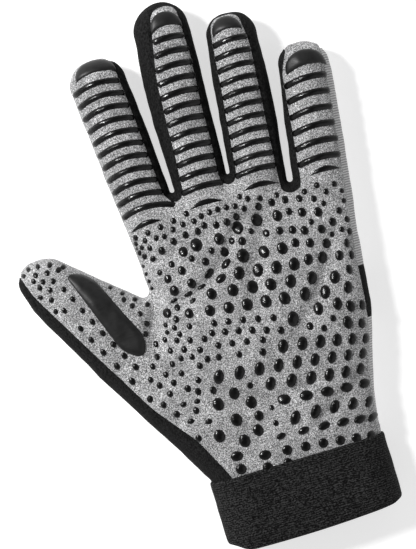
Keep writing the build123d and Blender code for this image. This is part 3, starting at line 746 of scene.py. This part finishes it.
def tip_outline(low, high, x, half):
    """Fingertip pad: a shallow arc below and a deep round one above."""
    low_samples, arc_samples, fullness = 16, 26, 0.8
    u = np.linspace(0, 1, low_samples)
    lower = np.column_stack([x - half + 2 * half * u, low - TIP_DROP + TIP_DROP * 4 * u * (1 - u)])
    angle = np.linspace(0, math.pi, arc_samples)[1:-1]
    rise = (high - low + TIP_DROP) * np.sin(angle) ** fullness
    return np.concatenate([lower, np.column_stack([x + half * np.cos(angle), low - TIP_DROP + rise])])


def dots_from_frame(name):
    """Dots of a CAD node as x, y, two half lengths and the turn of the first, in the pattern frame."""
    mesh = frame["nodes"][name].data
    points = np.array([v.co for v in mesh.vertices]) / MM - (SHIFT[0], SHIFT[1], 0)
    # Vertices at one place are one corner, so that each dot is one island.
    corners, corner_of = np.unique(np.round(points, 4), axis=0, return_inverse=True)
    edges = corner_of.reshape(-1)[np.array([e.vertices for e in mesh.edges])]
    # Each corner takes the lowest label that its edges reach, until every island has one label.
    label = np.arange(len(corners))
    while True:
        low = np.minimum(label[edges[:, 0]], label[edges[:, 1]])
        new = label.copy()
        np.minimum.at(new, edges[:, 0], low)
        np.minimum.at(new, edges[:, 1], low)
        new = new[new]
        if (new == label).all():
            break
        label = new
    dots = []
    for island in np.unique(label):
        p = corners[label == island][:, :2]
        low, high = p.min(axis=0), p.max(axis=0)
        middle = (low + high) / 2
        if low[1] < CUFF_TOP + CUT_SHORT:  # drawn round, and on below the cuff's edge
            half_width = (high[0] - low[0]) / 2
            dots.append((middle[0], high[1] - half_width, half_width, half_width, 0))
            continue
        _, axes = np.linalg.eigh(np.cov((p - middle).T))
        half = np.abs((p - middle) @ axes).max(axis=0)
        dots.append((*middle, *half, math.atan2(axes[1, 0], axes[0, 0])))
    return dots


def clear_of_rim(x, y, reach):
    """A dot's place, moved in from the rim until the dot fits beside it."""
    point, too_near = np.array([(x, y)]), 0.2
    gap = distance(RIM_WALL, point)[0] * (1 if inside(RIM, point)[0] else -1)
    short = reach + RIM_GAP - gap
    if short <= 0:
        return x, y
    away = point[0] - nearest_on(RIM_WALL, point)[0][0]
    if np.linalg.norm(away) < too_near:
        return x, y
    away *= np.sign(gap) / np.linalg.norm(away)
    return tuple(point[0] + away * short)


# ---------------- materials
def new_material(name):
    """A new material, its node tree and its shader."""
    material = bpy.data.materials.new(name)
    material.use_nodes = True
    tree = material.node_tree
    return material, tree, tree.nodes["Principled BSDF"]


def node(tree, kind, **values):
    """A new node with some properties and inputs set."""
    made = tree.nodes.new(kind)
    for key, value in values.items():
        if hasattr(made, key):
            setattr(made, key, value)
        else:
            made.inputs[key.replace("_", " ")].default_value = value
    return made


def ramp(tree, source, stops):
    """The colour output of a new colour ramp with stops of position and colour."""
    made = tree.nodes.new("ShaderNodeValToRGB")
    elements = made.color_ramp.elements
    while len(elements) < len(stops):
        elements.new(0.5)
    for element, (at, colour) in zip(elements, stops):
        element.position = at
        element.color = (*colour, 1)
    tree.links.new(source, made.inputs["Fac"])
    return made.outputs["Color"]


def dress(tree, shader, colour, relief, roughness, specular, strength, depth_mm):
    """Gives a shader its colour, its gloss and the relief of a pattern."""
    tree.links.new(colour, shader.inputs["Base Color"])
    shader.inputs["Roughness"].default_value = roughness
    shader.inputs["Specular IOR Level"].default_value = specular
    bump = node(tree, "ShaderNodeBump", Strength=strength, Distance=depth_mm * MM)
    tree.links.new(relief, bump.inputs["Height"])
    tree.links.new(bump.outputs["Normal"], shader.inputs["Normal"])


def coordinates(tree, scale=(1, 1, 1)):
    """Object coordinates, stretched where the scale is under 1."""
    coords = tree.nodes.new("ShaderNodeTexCoord")
    mapping = node(tree, "ShaderNodeMapping")
    mapping.inputs["Scale"].default_value = scale
    tree.links.new(coords.outputs["Object"], mapping.inputs["Vector"])
    return mapping.outputs["Vector"]


def noise_node(tree, vector, size_mm, detail=2.0, roughness=0.6):
    """Grain whose largest lumps are about size_mm wide."""
    made = node(tree, "ShaderNodeTexNoise", Scale=1 / (size_mm * MM), Detail=detail, Roughness=roughness)
    tree.links.new(vector, made.inputs["Vector"])
    return made.outputs["Fac"]


def stripes(tree, width_mm, distortion):
    """Stripes that follow each other along y, light and dark, each about width_mm wide."""
    scale = 1 / (width_mm * MM) / math.pi / 2
    made = node(tree, "ShaderNodeTexWave", wave_type="BANDS", bands_direction="Y", Scale=scale)
    made.inputs["Distortion"].default_value = distortion
    tree.links.new(coordinates(tree), made.inputs["Vector"])
    return made.outputs["Fac"]


def grey(v):
    """A grey with a trace of blue."""
    return (v, v, v * 1.005)


def heather_fabric():
    """Brushed heather-grey fabric: dark and light fibres mixed, with painted shade: broad patches darkened at
    random to stand in for the shading of soft folds.
    """
    material, tree, shader = new_material("grey_fabric")
    vector = coordinates(tree)
    fibre = noise_node(tree, vector, 0.52, 3.0, 0.8)
    fibre_greys = [(0.37, grey(0.025)), (0.46, grey(0.18)), (0.54, grey(0.40)), (0.63, grey(0.92))]
    fibres = ramp(tree, fibre, fibre_greys)
    # Painted shade: broad noise patches darken the fibres' colour by up to 30%, standing in for the shading
    # of soft folds.
    cloud = noise_node(tree, vector, 13.0, 3.0)
    painted_fold_shade = ramp(tree, cloud, [(0.33, grey(0.70)), (0.6, grey(1.0))])
    mix = node(tree, "ShaderNodeMix", data_type="RGBA", blend_type="MULTIPLY")
    mix.inputs["Factor"].default_value = 1.0
    tree.links.new(fibres, mix.inputs["A"])
    tree.links.new(painted_fold_shade, mix.inputs["B"])
    colour = mix.outputs["Result"]
    dress(tree, shader, colour, fibre, roughness=0.95, specular=0.15, strength=0.5, depth_mm=0.25)
    shader.inputs["Sheen Weight"].default_value = 0.15
    return material


def black_fabric():
    """Matte black stretch jersey."""
    material, tree, shader = new_material("black_fabric")
    grain = noise_node(tree, coordinates(tree, (1, 0.6, 1)), 0.6)
    colour = ramp(tree, grain, [(0.35, grey(0.0015)), (0.68, grey(0.018))])
    dress(tree, shader, colour, grain, roughness=0.9, specular=0.1, strength=0.6, depth_mm=0.25)
    return material


def rib_knit():
    """Light grey rib knit whose ribs run round the edge of the hand."""
    material, tree, shader = new_material("rib_knit")
    ribs = stripes(tree, 0.55, 0.6)
    colour = ramp(tree, ribs, [(0.1, grey(0.27)), (0.8, grey(0.60))])
    dress(tree, shader, colour, ribs, roughness=0.9, specular=0.2, strength=0.8, depth_mm=0.4)
    return material


def cuff_knit():
    """Black fine-rib knit of the cuff."""
    material, tree, shader = new_material("cuff_knit")
    grain = noise_node(tree, coordinates(tree, (0.8, 1, 1)), 0.62, 2.0, 0.7)
    added = node(tree, "ShaderNodeMath", operation="MULTIPLY_ADD")
    added.inputs[1].default_value = 0.12
    tree.links.new(stripes(tree, 0.5, 5.0), added.inputs[0])
    tree.links.new(grain, added.inputs[2])
    knit = added.outputs[0]
    colour = ramp(tree, knit, [(0.50, grey(0.0015)), (0.74, grey(0.042))])
    dress(tree, shader, colour, knit, roughness=0.85, specular=0.1, strength=0.9, depth_mm=0.35)
    return material


def silicone(name, dark, light, roughness, streak):
    """Glossy black silicone, uneven and a little streaky across the fingers."""
    material, tree, shader = new_material(name)
    cloud = noise_node(tree, coordinates(tree), 3.0, 1.0)
    colour = ramp(tree, cloud, [(0.3, grey(dark)), (0.7, grey(light))])
    streaks = noise_node(tree, coordinates(tree, (0.16, 1, 1)), 0.9)
    dress(tree, shader, colour, streaks, roughness, specular=0.3, strength=streak, depth_mm=0.35)
    return material


def plain(name, colour, roughness):
    """A slightly uneven colour."""
    material, tree, shader = new_material(name)
    grain = noise_node(tree, coordinates(tree), 0.5)
    tint = ramp(tree, grain, [(0.3, tuple(c * 0.7 for c in colour)), (0.7, colour)])
    tree.links.new(tint, shader.inputs["Base Color"])
    shader.inputs["Roughness"].default_value = roughness
    return material


MATERIALS = {
    "grey_fabric": heather_fabric(),
    "black_fabric": black_fabric(),
    "rib_knit": rib_knit(),
    "cuff_knit": cuff_knit(),
    "silicone": silicone("silicone", 0.002, 0.0045, 0.21, 0.6),
    "pad_silicone": silicone("pad_silicone", 0.006, 0.011, 0.44, 0.2),
    "elastic": plain("elastic", (0.5, 0.5, 0.5), 0.8),
    "thread": plain("thread", (0.02, 0.02, 0.02), 0.8),
}


# ---------------- fabric pieces
def side_node(body_name, middle):
    """Node of a side piece from its body and the middle of one of its triangles."""
    x, y = middle
    if body_name == "hand":
        if x < THUMB_STRIP[0] and y < THUMB_STRIP[1]:
            return "thumb_side_strip"
        in_last_web = x < LAST_WEB[0] and y > LAST_WEB[1]
        if x > OUTER_STRIP[0] and y < OUTER_STRIP[1] and not in_last_web:
            if y > PATCH_TOP:
                return "outer_strip_top"
            return "outer_strip_patch" if y > PATCH_LOW else "outer_strip_low"
        if x < WEB_ENDS[0]:
            return "web_index_middle"
        return "web_middle_ring" if x < WEB_ENDS[1] else "web_ring_little"
    if body_name.startswith("little") and x > LITTLE_MIDDLE:
        return body_name + "_outer_strip"
    return body_name + "_side"


def slot_of(name):
    """Material slot of a fabric piece."""
    if name in ("outer_strip_top", "outer_strip_low") or name.endswith("_outer_strip"):
        return "rib_knit"
    if name.endswith(("_side", "_strip", "_patch")) or name.startswith("web_"):
        return "black_fabric"
    return "grey_fabric"


def fabric():
    """Every fabric piece of the hand, cut from one skin so that neighbours share their edges and normals."""
    groove_depth, groove_width = 0.55, 0.8
    lip_height, lip_at, lip_width = 0.18, BACK_SEAM, 1.1
    resting_height, resting_share, off_rim = 1.0, 0.3, 0.01
    vertices, faces, is_back, depth = skin()
    plan = vertices[faces].mean(axis=1)[:, :2]
    bodies = body_index(plan)
    in_front = inside(FRONT, plan)
    rim_gap = distance(RIM_WALL, plan)
    under = is_back & (rim_gap <= BACK_SEAM)
    in_front[under] = inside(FRONT, nearest_on(RIM_WALL, plan[under])[0])
    normals = vertex_normals(vertices, faces)
    back_vertex = np.zeros(len(vertices), bool)
    back_vertex[np.unique(faces[is_back])] = True
    back_vertex &= vertices[:, 2] < MIDDLE_Z - off_rim
    seam = np.where(back_vertex, np.abs(depth - BACK_SEAM), seam_distance(vertices[:, :2]))
    push = np.array([ripple(*v) for v in vertices])
    push -= groove_depth * np.exp(-((seam / groove_width) ** 2))
    push += lip_height * np.exp(-(((seam - lip_at) / lip_width) ** 2))
    push[vertices[:, 2] < resting_height] *= resting_share
    vertices = vertices + normals * push[:, None]
    vertices[:, 2] = np.maximum(vertices[:, 2], FLOOR_GAP)
    normals = vertex_normals(vertices, faces)
    groups = {}
    for i, face in enumerate(faces):
        body = BODY_NAMES[bodies[i]]
        if is_back[i] and rim_gap[i] > BACK_SEAM:
            name = "back_panel" if body == "hand" else body + "_back"
        elif in_front[i]:
            name = "palm_panel" if body == "hand" else body + "_front"
        else:
            name = side_node(body, plan[i])
        groups.setdefault((name, body), []).append(face)
    for (name, body), group in groups.items():
        shape, every, n = thick(vertices, np.array(group), normals, SKIN)
        slot_name = slot_of(name)
        obj = build_mesh("cloth_" + name, shape, every, MATERIALS[slot_name], n)
        attach(obj, body, name)


def prints():
    """Bars, dots and pads, those of one CAD node together in one object."""
    by_node = {}

    def add(at, made, kind):
        body = BODY_NAMES[int(body_index(np.array([at]))[0])]
        on_hand = {"bars": "finger_base_bars", "dots": "palm_dots"}[kind]
        name = on_hand if body == "hand" else body + "_" + kind
        by_node.setdefault((name, body), []).append(made)

    for name, finger in FINGERS.items():
        low, pitch, count, width, sag, x_low, x_high = finger["bars"]
        for i in range(count):
            centre = (x_low + (x_high - x_low) * i / (count - 1), low + pitch * i)
            outline = bar_outline(centre, width, sag)
            highest = outline[outline[:, 1].argmax()]
            add(highest, patch(outline, BAR_HEIGHT, width / 2), "bars")
        pad = patch(tip_outline(*finger["tip"]), TIP_HEIGHT, TIP_EDGE)
        obj = print_piece("print_" + name + "_tip_pad", [pad], MATERIALS["pad_silicone"])
        attach(obj, name + "_upper", name + "_upper_bars")
    for x0, y0, x1, y1 in BASE_BARS:
        outline = lens_outline((x0, y0), (x1, y1), *BASE_BAR_RISE)
        add(outline.mean(axis=0), patch(outline, BASE_BAR_HEIGHT, BASE_BAR_EDGE), "bars")
    for name in ("palm_dots", "thumb_lower_dots", "thumb_upper_dots"):
        for x, y, rx, ry, turn in dots_from_frame(name):
            longer = min(ry / rx, WIDEST_RATIO) ** SLIMMER
            rx, ry = rx / longer, ry * longer
            half_length = max(rx, ry)
            x, y = clear_of_rim(x, y, half_length)
            gap = distance(RIM_WALL, np.array([(x, y)]))[0]
            add((x, y), dot_patch(x, y, rx, ry, turn, dot_height(half_length, gap)), "dots")
    for (name, body), patches in by_node.items():
        obj = print_piece("print_" + name, patches, MATERIALS["silicone"])
        attach(obj, body, name)
    # The thumb's pad crosses its middle crease: each part is cut where that bend starts.
    along, within = THUMB_PAD_STEPS
    pad = patch(rounded(THUMB_PAD, along), THUMB_PAD_HEIGHT, THUMB_PAD_EDGE, within)
    flat, _, faces = pad
    upper = body_index(flat[faces].mean(axis=1)) == BODY_NAMES.index("thumb_upper")
    for name, body, part in (("thumb_pad", "thumb_lower", ~upper), ("thumb_pad_end", "thumb_upper", upper)):
        obj = print_piece("print_" + name, [pad], MATERIALS["pad_silicone"], part)
        attach(obj, body, name)


# ---------------- cuff
# Rows round the wrist, as y and offset outwards from the hand's fabric.
CUFF_START = [(-92.0, -1.1), (-90.2, -0.9), (-89.1, -0.5), (-88.55, 0.1), (-88.5, 0.55), (-88.9, 0.85)]
CUFF_SIDE = [(y, 1.0) for y in np.arange(-89.8, -118.6, -1.2)]
HEM = [(-119.6, 0.95), (-120.6, 0.7), (-121.2, 0.25), (-121.5, -0.35)]
HEM_INSIDE = [(-121.5, -0.35), (-121.35, -0.95), (-120.9, -1.5), (-120.0, -1.9)]
LINING = [(y, -2.1) for y in np.arange(-118.5, -94.0, 2.4)] + [(-93.0, -1.9)]
ELASTIC = [(-94, -0.6), (-94, -1.4), (-117, -1.4), (-117, -0.6), (-94, -0.6)]
OVERLOCK = [(-91.6 + 0.75 * math.cos(a), -2.6 + 0.6 * math.sin(a)) for a in np.linspace(0, 2 * math.pi, 9)]

# The cuff's length, as the photograph shows it: its hem bows, and its corners are shorter.
BOW, BOW_MIDDLE = 0.00085, 5
LEFT_CORNER, LEFT_CORNER_SHORT = 9, 3.4
RIGHT_CORNER, RIGHT_CORNER_SHORT = 4, 0.8
CUFF_LENGTH = 32.5
FULL_SHORT_AT = 20  # the rows this far below the cuff's top and further are shortened in full


def cuff_section():
    """Closed section of the wrist, from its left side over the palm side: x, z and outward normals."""
    spacing, in_bend = 1.3, 12
    bend = ROUND * (1 - np.cos(np.linspace(0, math.pi / 2, in_bend)))
    flat = np.arange(ROUND + spacing, (CUFF_RIGHT - CUFF_LEFT) / 2, spacing)
    half = np.concatenate([bend, flat])
    across = np.concatenate([CUFF_LEFT + half, (CUFF_RIGHT - half)[::-1]])
    depth = np.minimum(across - CUFF_LEFT, CUFF_RIGHT - across)
    upper = palm_height(np.column_stack([across, np.full(len(across), CUFF_TOP)]), depth)
    lower = back_height(depth)
    x = np.concatenate([across, across[-2:0:-1]])
    z = np.concatenate([upper, lower[-2:0:-1]])
    run_x, run_z = np.roll(x, -1) - np.roll(x, 1), np.roll(z, -1) - np.roll(z, 1)
    size = np.hypot(run_x, run_z)
    return x, z, -run_z / size, run_x / size


def cuff_rows(rows, name, material):
    """A tube round the wrist through rows of y and outward offset."""
    uneven_by, uneven_over, uneven_along = 0.22, 11, 9
    x, z, nx, nz = cuff_section()
    count = len(x)
    vertices = []
    left_corner = 1 - smooth((x - CUFF_LEFT) / LEFT_CORNER)
    right_corner = smooth((x - CUFF_RIGHT + RIGHT_CORNER) / RIGHT_CORNER)
    short = BOW * (x - BOW_MIDDLE) ** 2 + LEFT_CORNER_SHORT * left_corner + RIGHT_CORNER_SHORT * right_corner
    for y, out in rows:
        below = CUFF_TOP - y
        row_y = CUFF_TOP - below * (1 - short / CUFF_LENGTH * smooth(below / FULL_SHORT_AT))
        for k in range(count):
            spot = Vector((x[k] / uneven_over, y / uneven_along, z[k] / uneven_over))
            push = out + uneven_by * noise.noise(spot)
            vertices.append((x[k] + nx[k] * push, row_y[k], max(z[k] + nz[k] * push, FLOOR_GAP)))
    faces = []
    for r in range(len(rows) - 1):
        for k in range(count):
            n = (k + 1) % count
            faces.append((r * count + k, r * count + n, (r + 1) * count + n, (r + 1) * count + k))
    return build_mesh(name, np.array(vertices), faces, material)


def cuff():
    """The cuff's outer layer and lining, the elastic between them and the seam to the hand."""
    for rows, name, replaced, slot_name in (
        (CUFF_START + CUFF_SIDE + HEM, "cuff_knit_outer", "cuff_outer", "cuff_knit"),
        (HEM_INSIDE + LINING, "cuff_knit_lining", "cuff_lining", "cuff_knit"),
        (ELASTIC, "cuff_elastic_band", "cuff_elastic", "elastic"),
        (OVERLOCK, "cuff_overlock_seam", "cuff_seam", "thread"),
    ):
        attach(cuff_rows(rows, name, MATERIALS[slot_name]), "hand", replaced)


fabric()
prints()
cuff()


# ---------------- studio
def floor():
    """A plain floor just below the glove, partly its own light so that the shadow stays faint."""
    side, drop = 6, 0.0002
    bpy.ops.mesh.primitive_plane_add(size=side, location=(0, 0, -drop))
    obj = bpy.context.object
    obj.name = "floor"
    material, tree, shader = new_material("pale_floor")
    shader.inputs["Base Color"].default_value = (0.60, 0.60, 0.60, 1)
    shader.inputs["Emission Color"].default_value = (1, 1, 1, 1)
    shader.inputs["Emission Strength"].default_value = 0.62
    shader.inputs["Roughness"].default_value = 0.9
    shader.inputs["Specular IOR Level"].default_value = 0.1
    obj.data.materials.append(material)


def area_light(name, location, size, power):
    """A round soft light that points at the origin."""
    light = bpy.data.lights.new(name, "AREA")
    light.shape = "DISK"
    light.size = size
    light.energy = power
    obj = add_object(name, light)
    obj.location = location
    obj.rotation_euler = Vector(location).to_track_quat("Z", "Y").to_euler()


def camera():
    """Straight above the glove and turned as in the photograph, which is view_length long at glove_top."""
    height, glove_top, view_length = 1.0, 0.018, 0.2416
    sensor, turn, aim = 36, -16.6, (0, 0.2, 0)
    data = bpy.data.cameras.new("camera")
    obj = add_object("camera", data)
    data.sensor_fit = "AUTO"
    data.sensor_width = sensor
    data.lens = sensor * (height - glove_top) / view_length
    middle = place([aim])[0]
    obj.location = (middle[0], middle[1], height)
    obj.rotation_euler = (0, 0, math.radians(turn))
    bpy.context.scene.camera = obj


def world():
    """A room that is bright all round and dim overhead, so that gloss stays dark where it faces up."""
    made = bpy.data.worlds.new("studio")
    made.use_nodes = True
    tree = made.node_tree
    coords = tree.nodes.new("ShaderNodeTexCoord")
    split = tree.nodes.new("ShaderNodeSeparateXYZ")
    tree.links.new(coords.outputs["Generated"], split.inputs["Vector"])
    stops = [(0.0, 1.0), (0.12, 1.0), (0.5, 0.5), (0.85, 0.08), (1.0, 0.05)]
    sky = ramp(tree, split.outputs["Z"], [(at, grey(value)) for at, value in stops])
    tree.links.new(sky, tree.nodes["Background"].inputs["Color"])
    tree.nodes["Background"].inputs["Strength"].default_value = 0.95
    bpy.context.scene.world = made


floor()
area_light("key", (-0.60, 0.50, 0.85), 0.22, 15.5)
area_light("fill", (0.7, -0.5, 0.9), 0.9, 0.9)
world()
bpy.context.scene.view_settings.view_transform = "Standard"
camera()
